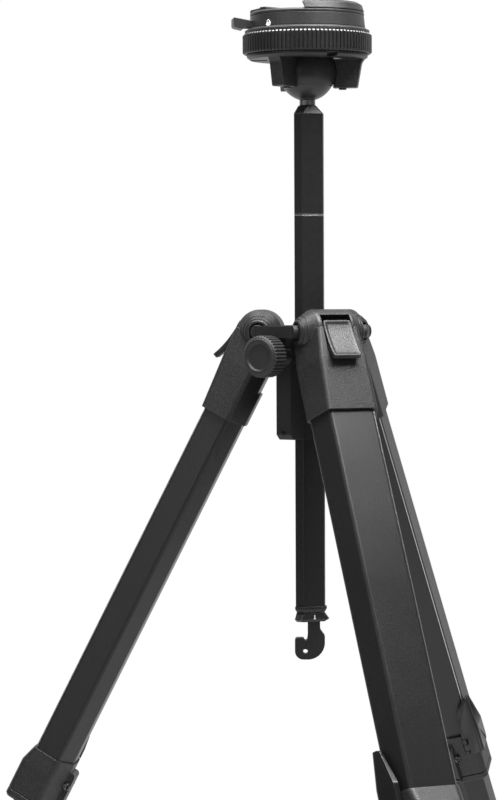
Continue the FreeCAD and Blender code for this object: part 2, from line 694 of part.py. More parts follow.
def column_upper():
    """Upper tube of the column: a spigot into the lower one, and a faceted cone up to the neck."""
    edge = COLUMN_JOINT + JOINT_CHAMFER
    cone_faces = [(turn, CONE_RADIUS) for turn, distance in column_faces(0)]
    outside = loft([
        (column_faces(-JOINT_CHAMFER), COLUMN_CORNER, COLUMN_JOINT),
        (column_faces(0), COLUMN_CORNER, edge),
        (column_faces(0), COLUMN_CORNER, COLUMN_TOP),
        (cone_faces, COLUMN_CORNER, COLUMN_TOP + CONE_HEIGHT),
    ])
    spigot_end = COLUMN_JOINT - SPIGOT_LENGTH
    spigot = prism(column_faces(-COLUMN_WALL - FIT), COLUMN_CORNER, spigot_end, COLUMN_JOINT)
    plug_bottom = COLUMN_TOP + CONE_HEIGHT - STEM_DEPTH - 2.0
    hollow = prism(column_faces(-2 * COLUMN_WALL), COLUMN_CORNER, spigot_end - 1, plug_bottom)
    socket_end = COLUMN_TOP + CONE_HEIGHT - STEM_DEPTH
    socket = Part.makeCylinder(STEM_RADIUS + FIT, STEM_DEPTH + 1, Vector(0, 0, socket_end))
    return joined(outside, spigot).cut([hollow, socket])


def ball_stem():
    """The ball with its neck, and the stem that screws into the column."""
    top = COLUMN_TOP + CONE_HEIGHT
    neck = Part.makeCylinder(NECK_RADIUS, BALL_HEIGHT - top, Vector(0, 0, top))
    stem = Part.makeCylinder(STEM_RADIUS, STEM_DEPTH, Vector(0, 0, top - STEM_DEPTH + FIT))
    return joined(Part.makeSphere(BALL_RADIUS, Vector(0, 0, BALL_HEIGHT)), neck, stem)


def collar_faces(grow, edge):
    return [(30.0 + 60 * n, edge + grow if n % 2 else COLLAR_FLAT + grow) for n in range(6)]


def hook_collar():
    """End cap of the column, with a plug up inside it."""
    low = COLUMN_BOTTOM - COLLAR_HEIGHT
    cap = loft([
        (collar_faces(-0.9, COLLAR_EDGE), COLUMN_CORNER, low),
        (collar_faces(0, COLLAR_EDGE), COLUMN_CORNER, low + 1.6),
        (collar_faces(-0.1, COLLAR_EDGE), COLUMN_CORNER, COLUMN_BOTTOM),
    ])
    inside = column_faces(-COLUMN_WALL - FIT)
    plug = prism(inside, COLUMN_CORNER, COLUMN_BOTTOM - 0.5, COLUMN_BOTTOM + COLLAR_PLUG)
    spindle = Part.makeCylinder(2.0 + PIN_FIT, 12, Vector(0, 0, low - 1))
    return joined(cap, plug).cut(spindle)


def hook_base():
    """The twisting ring that carries the hook, with its spindle up into the end cap."""
    high = COLUMN_BOTTOM - COLLAR_HEIGHT - COLUMN_GAP
    low = COLUMN_BOTTOM - COLLAR_HEIGHT - HOOK_BASE_HEIGHT
    ring = loft([
        (collar_faces(-0.8, COLLAR_EDGE), COLUMN_CORNER, low),
        (collar_faces(0, HOOK_BASE_EDGE), COLUMN_CORNER, low + 1.3),
        (collar_faces(-0.7, COLLAR_EDGE - 0.6), COLUMN_CORNER, high),
    ])
    spindle = Part.makeCylinder(2.0, 9.0, Vector(0, 0, high - 0.5))
    return joined(ring, spindle)


def hook():
    """Open J-shaped bag hook, flat sided, with a small cross hole."""
    top = -COLLAR_HEIGHT - HOOK_BASE_HEIGHT
    outline = [
        (-5.7, top, 0),
        (-5.7, top - 4.5, 3.0),
        (-8.2, top - 7.8, 3.0),
        (-8.2, top - 20.2, 9.0),
        (7.6, top - 20.2, 4.5),
        (7.6, top - 8.8, 1.2),
        (3.1, top - 8.8, 0.8),
        (1.6, top - 12.2, 0.8),
        (0.85, top - 7.0, 1.0),
        (0.85, top, 0),
    ]
    points = [Vector(x, -HOOK_HALF, z) for x, z, radius in outline]
    shape = slab(points, [radius for x, z, radius in outline], Vector(0, 2 * HOOK_HALF, 0))
    hole = rod(1.3, Vector(2.1, -9, top - 16.0), Vector(2.1, 9, top - 16.0))
    shape = moved(shape.cut(hole), 0, 0, COLUMN_BOTTOM)
    return spun(shape, HOOK_AZIMUTH)


# ---------------------------------------------------------------- head, heights from the ball's centre
def ball_cup():
    """Liner on the ball: the first tilt of the joint turns it."""
    shell = Part.makeSphere(CUP_RADIUS).cut(Part.makeSphere(BALL_RADIUS + COLUMN_GAP))
    return shell.common(Part.makeCylinder(CUP_RADIUS + 1, CUP_TOP - CUP_RIM, Vector(0, 0, CUP_RIM)))


def seat_ring():
    """Seat round the liner: the second tilt turns it, and the head turns on it."""
    ring = Part.makeCylinder(SEAT_OUTER, SEAT_TOP - SEAT_BOTTOM, Vector(0, 0, SEAT_BOTTOM))
    return ring.cut(Part.makeSphere(SEAT_RADIUS))


def head_base():
    """Head casting: three lugs round the ball, a flange with notches, and a stepped core."""
    points = [
        (LUG_INNER - 2, LUG_BOTTOM),
        (LUG_OUTER, LUG_BOTTOM),
        (LUG_OUTER + 2.2, FLANGE_BOTTOM - 2.2),
        (LUG_TOP_OUTER, FLANGE_BOTTOM + 0.5),
        (LUG_INNER - 2, FLANGE_BOTTOM + 0.5),
    ]
    lug = slab([Vector(x, -LUG_HALF, z) for x, z in points], [0, 1.0, 3.0, 0, 0], Vector(0, 2 * LUG_HALF, 0))
    screw = Part.makeCylinder(LUG_SCREW_RADIUS, 1.8, Vector(LUG_SCREW_REACH, 0, LUG_BOTTOM - 0.9))
    neck_radius = RING_RADIUS - RING_WALL - COLUMN_GAP
    core = turned([
        (0, FLANGE_BOTTOM),
        (FLANGE_RADIUS - 1.5, FLANGE_BOTTOM),
        (FLANGE_RADIUS, FLANGE_BOTTOM + 1.2),
        (FLANGE_RADIUS, FLANGE_TOP),
        (neck_radius, FLANGE_TOP),
        (neck_radius, RING_TOP + COLUMN_GAP),
        (CORE_RADIUS, RING_TOP + COLUMN_GAP),
        (CORE_RADIUS, PLATFORM_BOTTOM),
        (0, PLATFORM_BOTTOM),
    ])
    parts = [spun(lug, azimuth) for azimuth in LOBE_AZIMUTHS]
    parts += [spun(screw, azimuth) for azimuth in LOBE_AZIMUTHS]
    shape = joined(core, *parts)
    socket = Part.makeCylinder(SEAT_OUTER + COLUMN_GAP, SEAT_TOP + COLUMN_GAP + 20, Vector(0, 0, -20))
    lug_space = Part.makeCylinder(SEAT_OUTER + COLUMN_GAP, 40, Vector(0, 0, -40 + FLANGE_BOTTOM))
    cuts = [socket.cut(lug_space), Part.makeSphere(CUP_RADIUS + MOVE_GAP)]
    notch_outline = [
        Vector(SEAT_OUTER + 1.5, -NOTCH_HALF + 1.0, FLANGE_BOTTOM - 1),
        Vector(SEAT_OUTER + 1.5, NOTCH_HALF - 1.0, FLANGE_BOTTOM - 1),
        Vector(SEAT_OUTER + 1.5, NOTCH_HALF, FLANGE_TOP - 0.6),
        Vector(SEAT_OUTER + 1.5, -NOTCH_HALF, FLANGE_TOP - 0.6),
    ]
    notch = slab(notch_outline, 0, Vector(20, 0, 0))
    for azimuth in LEG_AZIMUTHS.values():
        cuts.append(spun(notch, azimuth))
    return shape.cut(cuts)


def tension_ring():
    """Knurled ring that sets the ball's grip."""
    ring = knurled(RING_RADIUS, RING_ROOT, RING_TEETH, RING_BOTTOM, RING_TOP, RING_CHAMFER)
    return ring.cut(Part.makeCylinder(RING_RADIUS - RING_WALL, 30, Vector()))


def bezel_ring():
    """Collar between the knurled ring and the lock ring."""
    low = RING_TOP + COLUMN_GAP
    inner = CORE_RADIUS + FIT
    wide, narrow = BEZEL_RADII
    return turned([(inner, low), (wide, low), (wide, low + 1.4), (narrow, BEZEL_TOP), (inner, BEZEL_TOP)])


def lock_ring():
    """Locking ring under the platform, with its thumb tab."""
    inner = CORE_RADIUS + COLUMN_GAP
    low_radius, high_radius = LOCK_RADII
    profile = [(inner, LOCK_BOTTOM), (low_radius, LOCK_BOTTOM), (high_radius, LOCK_TOP), (inner, LOCK_TOP)]
    ring = turned(profile)
    outline = [
        (CORE_RADIUS + 2, LOCK_BOTTOM + 0.2, 0),
        (RING_RADIUS - 0.3, LOCK_BOTTOM + 0.2, 0),
        (RING_RADIUS + 0.5, LOCK_BOTTOM - 0.8, 0.4),
        (LOCK_TAB_REACH - 1.0, LOCK_BOTTOM + 0.1, 0.4),
        (LOCK_TAB_REACH, LOCK_BOTTOM + 1.0, 0.4),
        (LOCK_TAB_REACH, LOCK_TOP - 0.9, 0.5),
        (CORE_RADIUS + 2, LOCK_TOP - 2.9, 0),
    ]
    points = [Vector(x, -LOCK_TAB_HALF, z) for x, z, radius in outline]
    tab = slab(points, [radius for x, z, radius in outline], Vector(0, 2 * LOCK_TAB_HALF, 0))
    return joined(ring, spun(tab, LOCK_TAB_AZIMUTH))


def jaw_side(top, outer):
    """Side outline of a dovetail jaw: an undercut grip, a flat top and a sloping back."""
    return [
        (JAW_ROOT, PLATFORM_TOP),
        (JAW_GRIP, top - 1.6),
        (JAW_GRIP, top - 0.5),
        (JAW_GRIP + 0.6, top),
        (outer - 0.9, top),
        (outer, PLATFORM_TOP),
    ]


def platform():
    """Round quick-release platform with its fixed jaw, a segment of the disc."""
    disc = turned([
        (0, PLATFORM_BOTTOM),
        (PLATFORM_RADIUS, PLATFORM_BOTTOM),
        (PLATFORM_RADIUS, PLATFORM_TOP - 0.8),
        (PLATFORM_RADIUS - 0.8, PLATFORM_TOP),
        (0, PLATFORM_TOP),
    ])
    envelope = turned([
        (0, PLATFORM_BOTTOM),
        (PLATFORM_RADIUS, PLATFORM_BOTTOM),
        (PLATFORM_RADIUS, PLATFORM_TOP),
        (PLATFORM_RADIUS - 1.1, JAW_TOP - 1.2),
        (PLATFORM_RADIUS - 3.0, JAW_TOP),
        (0, JAW_TOP),
    ])
    points = [Vector(x, -30, z) for x, z in jaw_side(JAW_TOP, PLATFORM_RADIUS + 6)]
    jaw = slab(points, 0, Vector(0, 60, 0)).common(envelope)
    return joined(disc, spun(jaw, JAW_AZIMUTH))


def release_clasp():
    """The sprung jaw, opposite the fixed one, with its thumb piece at the platform's edge."""
    top = JAW_TOP - 0.8
    lift = MOVE_GAP / 2
    points = [Vector(x, -CLASP_HALF_LENGTH, z + lift) for x, z in jaw_side(top, JAW_ROOT + CLASP_THICKNESS)]
    bar = slab(points, 0, Vector(0, 2 * CLASP_HALF_LENGTH, 0))
    thumb_points = [
        Vector(JAW_ROOT + 2, -3.0, PLATFORM_TOP + 1.0),
        Vector(CLASP_OUTER + 2.4, -3.0, PLATFORM_TOP + 0.6),
        Vector(CLASP_OUTER + 2.4, -3.0, top - 1.0),
        Vector(JAW_ROOT + 2, -3.0, top - 0.2),
    ]
    thumb = slab(thumb_points, [0, 0.6, 0.8, 0], Vector(0, 14.5, 0))
    return spun(joined(bar, thumb), JAW_AZIMUTH - 180)


def plate_pad():
    """Rubber pad under the camera plate, between the jaws."""
    corners = [(-1, -1), (1, -1), (1, 1), (-1, 1)]
    points = [Vector(PAD_HALF * x, PAD_HALF * y, PLATFORM_TOP) for x, y in corners]
    return spun(slab(points, 2.0, Vector(0, 0, PAD_THICKNESS)), JAW_AZIMUTH)


# ---------------------------------------------------------------- assembly
nodes = {}
for piece in (hub, hinge_pins, lock_knob, lock_shaft, column_lower, column_upper, ball_stem,
              hook_collar, hook_base, hook):
    nodes[piece.__name__] = moved(piece(), 0, 0, HINGE_HEIGHT)
screws = [spun(hub_screw(), azimuth) for azimuth in LOBE_AZIMUTHS]
nodes["hub_screws"] = moved(Part.makeCompound(screws), 0, 0, HINGE_HEIGHT)
for piece in (ball_cup, seat_ring, head_base, tension_ring, bezel_ring, lock_ring, platform,
              release_clasp, plate_pad):
    nodes[piece.__name__] = moved(piece(), 0, 0, BALL_Z)

leg_pieces = {"hood": hood(), "angle_tab": angle_tab(), "foot": foot()}
for number in range(4):
    leg_pieces[f"tube_{number + 1}"] = leg_tube(number)
for number in range(1, 4):
    leg_pieces[f"clamp_{number}"] = clamp(number)
    leg_pieces[f"lever_{number}"] = lever(number)
for leg, azimuth in LEG_AZIMUTHS.items():
    for name, shape in leg_pieces.items():
        nodes[f"{leg}_{name}"] = on_leg(shape, azimuth)

os.makedirs("parts", exist_ok=True)
for name, shape in nodes.items():
    shape.exportStep(f"parts/{name}.step")
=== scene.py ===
import math

import bpy
from mathutils import Matrix, Vector


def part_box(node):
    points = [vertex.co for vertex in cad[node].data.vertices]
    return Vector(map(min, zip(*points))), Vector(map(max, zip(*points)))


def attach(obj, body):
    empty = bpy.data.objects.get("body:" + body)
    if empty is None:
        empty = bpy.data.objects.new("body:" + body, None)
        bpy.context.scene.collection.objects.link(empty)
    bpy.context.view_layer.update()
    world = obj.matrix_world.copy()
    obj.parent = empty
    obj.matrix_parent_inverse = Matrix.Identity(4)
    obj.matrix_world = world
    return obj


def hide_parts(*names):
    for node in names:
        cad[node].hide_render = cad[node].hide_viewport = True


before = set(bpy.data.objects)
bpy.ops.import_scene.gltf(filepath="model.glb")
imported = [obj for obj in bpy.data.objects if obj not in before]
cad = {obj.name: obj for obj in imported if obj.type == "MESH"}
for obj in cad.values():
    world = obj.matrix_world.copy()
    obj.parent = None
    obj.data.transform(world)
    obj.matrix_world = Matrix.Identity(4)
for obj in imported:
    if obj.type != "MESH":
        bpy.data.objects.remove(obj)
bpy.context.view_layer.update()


# ------------------------------------------------------------------ studio
# A long lens at the height of the legs' hoods, in a room that is white behind the tripod and dim
# in front of it. Two soft lamps hang over the hub, a tall one stands at the left, and a weak one
# fills the front.
LENS = 135.0
SENSOR = 36
CAMERA_AT = (-0.6558, -1.4364, 0.9811)
CAMERA_TURN = (88.205, 0.25, -23.42)  # tilt, roll and heading, in degrees
VIEW_END = 50

bpy.ops.object.select_all(action="DESELECT")
bpy.ops.object.camera_add(
    location=CAMERA_AT,
    rotation=[math.radians(turn) for turn in CAMERA_TURN],
)
camera = bpy.context.object
camera.data.lens = LENS
camera.data.sensor_width = SENSOR
camera.data.clip_end = VIEW_END
bpy.context.scene.camera = camera
bpy.context.scene.view_settings.view_transform = "Standard"


def linear(colour):
    """An sRGB hex colour such as "2b2b2c" as a shader's linear colour."""
    parts = [int(colour[n : n + 2], 16) / 255 for n in (0, 2, 4)]
    return [c / 12.92 if c <= 0.04045 else ((c + 0.055) / 1.055) ** 2.4 for c in parts] + [1]


def add_node(tree, kind, inputs=(), **settings):
    """Adds a node: its settings by name, and its sockets from values or other nodes' outputs."""
    node = tree.nodes.new(kind)
    for name, value in settings.items():
        setattr(node, name, value)
    for socket, value in dict(inputs).items():
        if isinstance(value, bpy.types.NodeSocket):
            tree.links.new(value, node.inputs[socket])
        else:
            node.inputs[socket].default_value = value
    return node


def lamp(name, azimuth, elevation, distance, size, power, aim):
    """A rectangular lamp, in metres and watts, that faces the column's axis at the height aim."""
    a, e = math.radians(azimuth), math.radians(elevation)
    away = Vector((math.cos(a) * math.cos(e), math.sin(a) * math.cos(e), math.sin(e)))
    light = bpy.data.lights.new(name, "AREA")
    light.shape = "RECTANGLE"
    light.size, light.size_y = size
    light.energy = power
    holder = bpy.data.objects.new(name, light)
    holder.location = Vector((0, 0, aim)) + away * distance
    holder.rotation_euler = away.to_track_quat("Z", "Y").to_euler()
    bpy.context.scene.collection.objects.link(holder)


lamp("top_light", azimuth=288, elevation=68, distance=0.66, size=(0.45, 0.45), power=14, aim=0.98)
lamp("overhead_light", azimuth=165, elevation=74, distance=0.9, size=(0.6, 0.6), power=9, aim=0.98)
lamp("front_fill", azimuth=285, elevation=-4, distance=2.0, size=(1.0, 1.0), power=0.5, aim=1.05)
lamp("left_light", azimuth=200, elevation=20, distance=2.2, size=(0.6, 1.6), power=4.2, aim=0.8)

WALL_AZIMUTH = 65  # degrees, the middle of the white wall behind the tripod
WALL_EDGES = (0.15, 0.85)  # cosines of the angle from that middle, over which the wall fades in
WALL_LEVELS = (0.10, 0.8)  # what a glossy face mirrors of the dim room and of the wall
ROOM_LIGHT = 0.56  # the even light that the room throws on every face

world = bpy.data.worlds.new("studio")
bpy.context.scene.world = world
world.use_nodes = True
sky = world.node_tree
sky.nodes.clear()
ray = add_node(sky, "ShaderNodeLightPath").outputs
direction = add_node(sky, "ShaderNodeTexCoord").outputs["Generated"]
wall = (math.cos(math.radians(WALL_AZIMUTH)), math.sin(math.radians(WALL_AZIMUTH)), 0)
facing = add_node(
    sky,
    "ShaderNodeVectorMath",
    {0: direction, 1: wall},
    operation="DOT_PRODUCT",
)
glow = add_node(
    sky,
    "ShaderNodeMapRange",
    {
        0: facing.outputs["Value"],
        1: WALL_EDGES[0],
        2: WALL_EDGES[1],
        3: WALL_LEVELS[0],
        4: WALL_LEVELS[1],
    },
    interpolation_type="SMOOTHSTEP",
)
mirrored = add_node(
    sky,
    "ShaderNodeMath",
    {0: glow.outputs[0], 1: ray["Is Glossy Ray"]},
    operation="MULTIPLY",
)
even = add_node(
    sky,
    "ShaderNodeMath",
    {0: ray["Is Diffuse Ray"], 1: ROOM_LIGHT},
    operation="MULTIPLY",
)
both = add_node(
    sky,
    "ShaderNodeMath",
    {0: mirrored.outputs[0], 1: even.outputs[0]},
    operation="ADD",
)
seen = add_node(
    sky,
    "ShaderNodeMath",
    {0: both.outputs[0], 1: ray["Is Camera Ray"]},
    operation="MAXIMUM",
)
through = add_node(
    sky,
    "ShaderNodeMath",
    {0: seen.outputs[0], 1: ray["Is Transmission Ray"]},
    operation="MAXIMUM",
)
backdrop = add_node(
    sky,
    "ShaderNodeBackground",
    {"Color": (1, 1, 1, 1), "Strength": through.outputs[0]},
)
add_node(sky, "ShaderNodeOutputWorld", {"Surface": backdrop.outputs[0]})

FLOOR_RADIUS = 3.0
FLOOR_Z = -0.0005  # just under the feet
FLOOR_FADE = (0.9, 2.6)  # radii over which the painted floor turns to plain white

bpy.ops.mesh.primitive_circle_add(
    vertices=96,
    radius=FLOOR_RADIUS,
    fill_type="NGON",
    location=(0, 0, FLOOR_Z),
)
floor = bpy.context.object
floor.name = "floor"
painted = bpy.data.materials.new("painted_floor")
painted.use_nodes = True
tree = painted.node_tree
tree.nodes.clear()
place = add_node(tree, "ShaderNodeTexCoord").outputs["Object"]
reach = add_node(tree, "ShaderNodeVectorMath", {0: place}, operation="LENGTH")
fade = add_node(
    tree,
    "ShaderNodeMapRange",
    {0: reach.outputs["Value"], 1: FLOOR_FADE[0], 2: FLOOR_FADE[1]},
    interpolation_type="SMOOTHSTEP",
)
paint = add_node(tree, "ShaderNodeBsdfDiffuse", {"Color": linear("f2f2f2")})
white = add_node(tree, "ShaderNodeEmission", {"Color": (1, 1, 1, 1), "Strength": 1.0})
mixed = add_node(
    tree,
    "ShaderNodeMixShader",
    {0: fade.outputs[0], 1: paint.outputs[0], 2: white.outputs[0]},
)
add_node(tree, "ShaderNodeOutputMaterial", {"Surface": mixed.outputs[0]})
floor.data.materials.append(painted)


# ------------------------------------------------------------------ leg tubes
# Six-sided extruded aluminium tubes, bead blasted and then anodised satin black. The blasting
# leaves a fine sparkle in the dye, drawn 0.5 mm wide because its real 0.1 mm would not show. The
# rounded corners take a pale colour, a painted glint, as bare metal that mirrors the room.
PATCHES = 22.0  # patches of more and less gloss to the metre, as hands leave them
PATCH_SPAN = (0.3, 0.7)  # the part of the noise between the two levels of gloss
GRAIN_SPAN = (0.35, 0.68)  # the part of the noise between the two colours
# Over these cosines the edges take their own lighter colour: a painted glint, with bare metal
# where a finish is bright.
EDGE_GLINT_SPAN = (0.985, 0.86)  # cosines between a face and its rounded edge


def finish(name, colours, roughness, grain, depth, edge, round_off, metallic=0.0, bright=False):
    """A grained finish whose colour follows the grain and whose roughness drifts in patches.

    The grain's width and depth and the rounding of the edges are in metres, with no grain
    under 0.5 mm, which would not show. The edges take a lighter colour of their own, a painted
    glint, and are bare metal that mirrors the room if bright.
    """
    material = bpy.data.materials.new(name)
    material.use_nodes = True
    tree = material.node_tree
    tree.nodes.clear()
    place = add_node(tree, "ShaderNodeTexCoord").outputs["Object"]
    speck = add_node(
        tree,
        "ShaderNodeTexNoise",
        {"Vector": place, "Scale": 1 / grain, "Detail": 4.0},
    ).outputs["Fac"]
    patch = add_node(
        tree,
        "ShaderNodeTexNoise",
        {"Vector": place, "Scale": PATCHES, "Detail": 3.0},
    ).outputs["Fac"]
    tone = add_node(
        tree,
        "ShaderNodeMapRange",
        {0: speck, 1: GRAIN_SPAN[0], 2: GRAIN_SPAN[1]},
    )
    dye = add_node(
        tree,
        "ShaderNodeMix",
        {0: tone.outputs[0], 6: linear(colours[0]), 7: linear(colours[1])},
        data_type="RGBA",
    )
    soft = add_node(tree, "ShaderNodeBevel", {"Radius": round_off}, samples=4).outputs[0]
    true = add_node(tree, "ShaderNodeNewGeometry").outputs["Normal"]
    turn = add_node(tree, "ShaderNodeVectorMath", {0: soft, 1: true}, operation="DOT_PRODUCT")
    # Where the rounded-off normal parts from the true one, at edges and creases, the colour turns
    # to the edge colour: a painted glint, and bare metal too on bright finishes.
    edge_wear_and_glint = add_node(
        tree,
        "ShaderNodeMapRange",
        {0: turn.outputs["Value"], 1: EDGE_GLINT_SPAN[0], 2: EDGE_GLINT_SPAN[1]},
    )
    dye_and_edge_glint = add_node(
        tree,
        "ShaderNodeMix",
        {0: edge_wear_and_glint.outputs[0], 6: dye.outputs[2], 7: linear(edge)},
        data_type="RGBA",
    )
    gloss = add_node(
        tree,
        "ShaderNodeMapRange",
        {0: patch, 1: PATCH_SPAN[0], 2: PATCH_SPAN[1], 3: roughness[0], 4: roughness[1]},
    )
    bump = add_node(
        tree,
        "ShaderNodeBump",
        {"Height": speck, "Distance": depth, "Strength": 1.0, "Normal": soft},
    )
    shader = add_node(
        tree,
        "ShaderNodeBsdfPrincipled",
        {
            "Base Color": dye_and_edge_glint.outputs[2],
            "Roughness": gloss.outputs[0],
            "Metallic": edge_wear_and_glint.outputs[0] if bright else metallic,
            "Normal": bump.outputs[0],
        },
    )
    add_node(tree, "ShaderNodeOutputMaterial", {"Surface": shader.outputs[0]})
    return material


def dress(pieces, material):
    """Gives one finish to CAD nodes, by name, or to new pieces."""
    for piece in pieces:
        piece = cad[piece] if isinstance(piece, str) else piece
        piece.data.materials.clear()
        piece.data.materials.append(material)


anodised = finish(
    "bead_blasted_black_anodised_aluminium",
    colours=("0f0f10", "1f1f20"),
    roughness=(0.32, 0.38),
    grain=0.0005,
    depth=0.00009,
    edge="d8d8da",
    round_off=0.0006,
    bright=True,
)
dress([name for name in cad if "_tube_" in name], anodised)

# ------------------------------------------------------------------ hoods
# Aluminium castings at the top of the legs, glued over the tubes, shot blasted and coated in a
# textured black powder. Its orange peel of about 0.6 mm sparkles where a face turns up to the
# light, and its edges are painted a little lighter, as a painted glint.
coated = finish(
    "textured_powder_coat",
    colours=("0d0d0e", "2d2d2e"),
    roughness=(0.37, 0.47),
    grain=0.0006,
    depth=0.00014,
    edge="4a4a4b",
    round_off=0.0005,
)
dress([name for name in cad if name.endswith("_hood")], coated)

# ------------------------------------------------------------------ angle tabs
# Cast pull-out stops that set a leg's angle: a plate on a steel pin across the hood, bent to the
# hood's slope, with a thumb dish inside a raised lip. They have the hoods' coat.
LEGS = {"left": 150.0, "front": 270.0, "rear": 30.0}  # azimuths in degrees
LEG_ANGLE = 26.85  # from the vertical, in degrees
HINGE_RADIUS = 0.0247  # from the column's axis to each leg's hinge
HINGE_HEIGHT = sum(corner.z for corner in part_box("hinge_pins")) / 2
TAB_PIN = (0.0092, -0.0014)  # out from the hinge's axis, and above it
TAB_SIZE = (0.0026, 0.0157, 0.0240)
TAB_OUT = TAB_PIN[0] + 0.0019  # the middle of the plate's thickness
TAB_DROP = 0.0100  # from the pin to the middle of the plate's length
TAB_LIP = 0.0011
DISH_SLOPE = 0.0009
DISH_DEPTH = 0.0005
TAB_BENDS = ((-0.0030, 9), (-0.0110, 7), (-0.0175, 7))  # heights from the pin, and degrees
ALONG = 0.9  # a face looks along an axis if its normal has at least this much of it
SHARP = math.radians(40)  # edges that turn more than this stay sharp


def apply_all(piece):
    """Applies a piece's modifiers and its place, so that the object sits at the origin."""
    bpy.ops.object.select_all(action="DESELECT")
    bpy.context.view_layer.objects.active = piece
    piece.select_set(True)
    for modifier in list(piece.modifiers):
        bpy.ops.object.modifier_apply(modifier=modifier.name)
    bpy.ops.object.transform_apply(location=True, rotation=True, scale=True)


def named(name):
    """Names the primitive that was just added, and applies its place."""
    piece = bpy.context.object
    piece.name = name
    apply_all(piece)
    return piece


def pick(piece, test, kind="vertices"):
    """Opens edit mode on a piece, with the vertices or polygons that pass the test selected."""
    bpy.ops.object.select_all(action="DESELECT")
    bpy.context.view_layer.objects.active = piece
    piece.select_set(True)
    bpy.ops.object.mode_set(mode="EDIT")
    bpy.ops.mesh.select_mode(type="VERT" if kind == "vertices" else "FACE")
    bpy.ops.mesh.select_all(action="DESELECT")
    bpy.ops.object.mode_set(mode="OBJECT")
    for element in getattr(piece.data, kind):
        element.select = bool(test(element))
    bpy.ops.object.mode_set(mode="EDIT")


def done():
    """Leaves edit mode."""
    bpy.ops.object.mode_set(mode="OBJECT")


def copy_of(piece, name):
    """A copy of a piece, or of a CAD node, with its own mesh."""
    twin = piece.copy()
    twin.data = piece.data.copy()
    twin.name = name
    bpy.context.scene.collection.objects.link(twin)
    return twin


def at_hinge(azimuth):
    """The place of a leg's hinge: its pin along Y, and the leg's outer side towards X."""
    out = Matrix.Translation((HINGE_RADIUS, 0, HINGE_HEIGHT))
    return Matrix.Rotation(math.radians(azimuth), 4, "Z") @ out


def on_leg(piece, azimuth):
    """Moves a piece made on a leg that hangs from the origin to where that leg stands."""
    spread = Matrix.Rotation(math.radians(-LEG_ANGLE), 4, "Y")
    piece.matrix_world = at_hinge(azimuth) @ spread @ piece.matrix_world
    apply_all(piece)


bpy.ops.object.select_all(action="DESELECT")
bpy.ops.mesh.primitive_cube_add(
    size=1,
    location=(TAB_OUT, 0, TAB_PIN[1] - TAB_DROP),
    scale=TAB_SIZE,
)
tab = named("thumb_tab")
pick(tab, lambda v: True)
bpy.ops.mesh.subdivide(number_cuts=7)
done()
pick(tab, lambda f: f.normal.x > ALONG, "polygons")
bpy.ops.mesh.inset(thickness=TAB_LIP)
bpy.ops.mesh.inset(thickness=DISH_SLOPE, depth=-DISH_DEPTH)
done()
for rise, bend in TAB_BENDS:
    pick(tab, lambda v: v.co.z < TAB_PIN[1] + rise)
    bpy.ops.transform.rotate(
        value=math.radians(bend),
        orient_axis="Y",
        center_override=(TAB_OUT, 0, TAB_PIN[1] + rise),
    )
    done()
smooth = tab.modifiers.new("round", "SUBSURF")
smooth.levels = smooth.render_levels = 2
apply_all(tab)
bpy.ops.object.shade_smooth_by_angle(angle=SHARP)
for side, azimuth in LEGS.items():
    piece = copy_of(tab, f"{side}_thumb_tab")
    on_leg(piece, azimuth)
    dress([piece, f"{side}_angle_tab"], coated)
    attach(piece, f"{side}_angle_tab")
    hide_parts(f"{side}_angle_tab")
bpy.data.objects.remove(tab)

# ------------------------------------------------------------------ corner lines
# Thin rods of bright metal along one corner of each top tube's outer face, and along the widest
# corner of its other side, from the hood down to the first clamp: painted highlights, set where
# these corners catch the light, that mirror the room as thin bright lines.
CORNERS = ((0.00722, 0.01210), (-0.00642, -0.01714))  # outwards and sideways from the leg's line
CORNER_TOP = -0.0490  # along the leg from its hinge
CORNER_FOOT = -0.2496
CORNER_WIDTH = 0.0008
corner_highlight_metal = finish(
    "corner_highlight_aluminium",
    colours=("b4b4b6", "c4c4c6"),
    roughness=(0.20, 0.24),
    grain=0.0010,
    depth=0.00001,
    edge="d0d0d2",
    round_off=0.0001,
    metallic=1.0,
)
for side, azimuth in LEGS.items():
    for number, (out, across) in enumerate(CORNERS):
        bpy.ops.object.select_all(action="DESELECT")
        bpy.ops.mesh.primitive_circle_add(
            vertices=16,
            radius=CORNER_WIDTH / 2,
            fill_type="NGON",
            location=(out, across, CORNER_FOOT),
        )
        line = named(f"{side}_corner_highlight_line_{number}")
        pick(line, lambda v: True)
        bpy.ops.mesh.extrude_region_move(
            TRANSFORM_OT_translate={"value": (0, 0, CORNER_TOP - CORNER_FOOT)},
        )
        bpy.ops.mesh.select_all(action="SELECT")
        bpy.ops.mesh.normals_make_consistent(inside=False)
        done()
        bpy.ops.object.shade_smooth_by_angle(angle=SHARP)
        on_leg(line, azimuth)
        dress([line], corner_highlight_metal)
        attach(line, f"{side}_leg")

# ------------------------------------------------------------------ hood beads
# Steps turned round both ends of each hood, about the hinge pin. They are part of the casting and
# are cut on a lathe before it is coated.
BEADS = ((0.0148, 0.0083), (0.0170, 0.0068))  # along the pin from its middle, and radius
BEAD_WIDTH = 0.0007
for side, azimuth in LEGS.items():
    for number, (along, radius) in enumerate(BEADS):
        for hand in (-1, 1):
            bpy.ops.object.select_all(action="DESELECT")
            bpy.ops.mesh.primitive_torus_add(
                location=(0, hand * along, 0),
                rotation=(math.pi / 2, 0, 0),
                major_radius=radius,
                minor_radius=BEAD_WIDTH / 2,
                major_segments=48,
                minor_segments=8,
            )
            bead = named(f"{side}_bead_{number}_{hand + 1}")
            bpy.ops.object.shade_smooth()
            on_leg(bead, azimuth)
            dress([bead], coated)
            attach(bead, f"{side}_leg")

